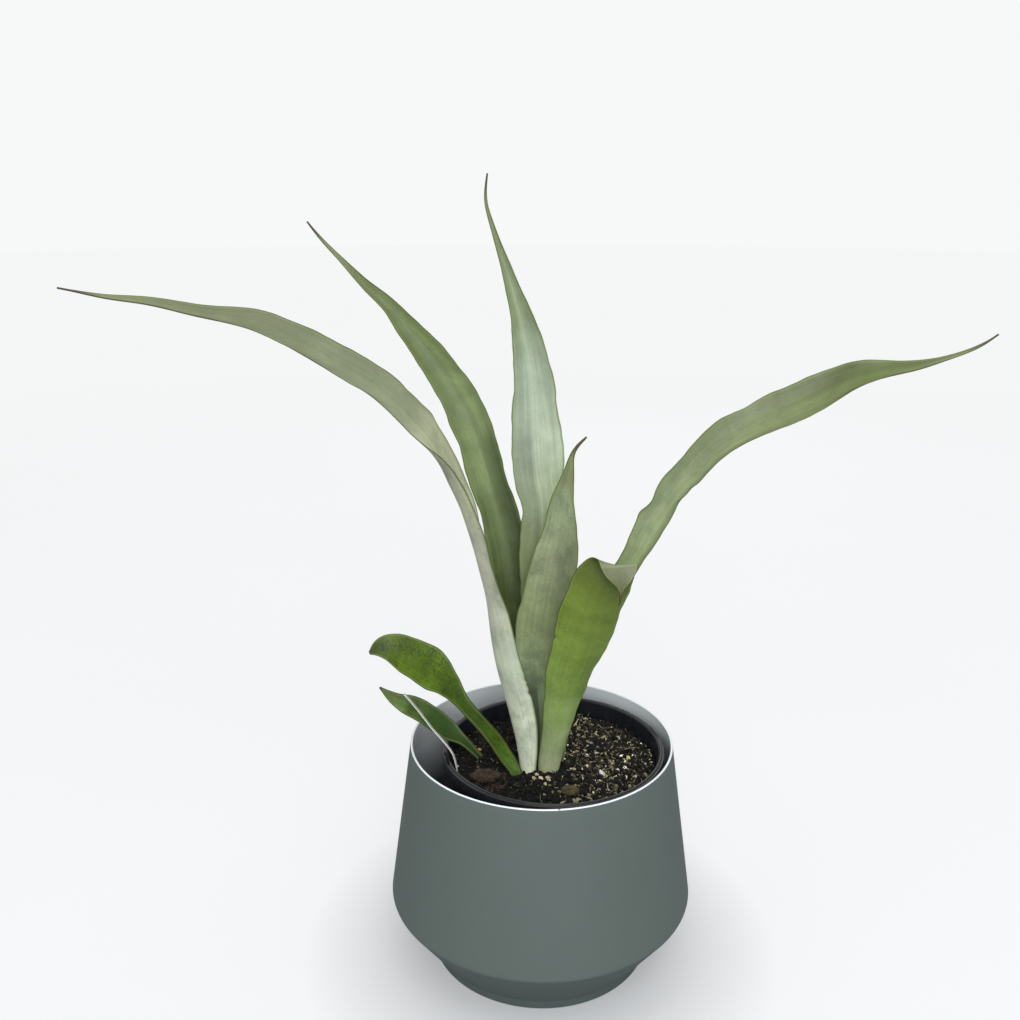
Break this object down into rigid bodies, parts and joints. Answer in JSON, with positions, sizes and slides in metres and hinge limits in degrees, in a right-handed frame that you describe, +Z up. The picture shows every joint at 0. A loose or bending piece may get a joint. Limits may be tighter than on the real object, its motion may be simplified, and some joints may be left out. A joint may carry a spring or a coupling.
{
  "type": "potted snake plant",
  "caption": "Upright long-leaved houseplant rooted in a thin black nursery pot that stands inside a tapered round outer pot with a narrow foot.",
  "frame": {"origin": "centre of the outer pot's flat underside, on the pot's axis", "axes": "+Z up along the outer pot's axis, +Y away from the side seen in the picture, +X to that view's right"},
  "size_m": [0.5926, 0.2346, 0.5922],
  "materials": {
    "pot_paint": "matte",
    "nursery_plastic": "satin",
    "potting_mix": "matte",
    "peat": "matte",
    "bark": "matte",
    "label_plastic": "satin",
    "rhizome_tissue": "matte",
    "silver_leaf": "satin",
    "green_leaf": "satin"
  },
  "bodies": {
    "root": {"outer_pot": "pot_paint", "nursery_pot": "nursery_plastic", "soil": "potting_mix", "peat_clump": "peat", "bark_chip": "bark", "plant_label": "label_plastic", "rhizome": "rhizome_tissue", "leaf_far_left": "silver_leaf", "leaf_left": "silver_leaf", "leaf_centre_tall": "silver_leaf", "leaf_centre_short": "silver_leaf", "leaf_front_folded": "silver_leaf", "leaf_far_right": "silver_leaf", "offset_leaf_upper": "green_leaf", "offset_leaf_lower": "green_leaf"}
  },
  "joints": []
}
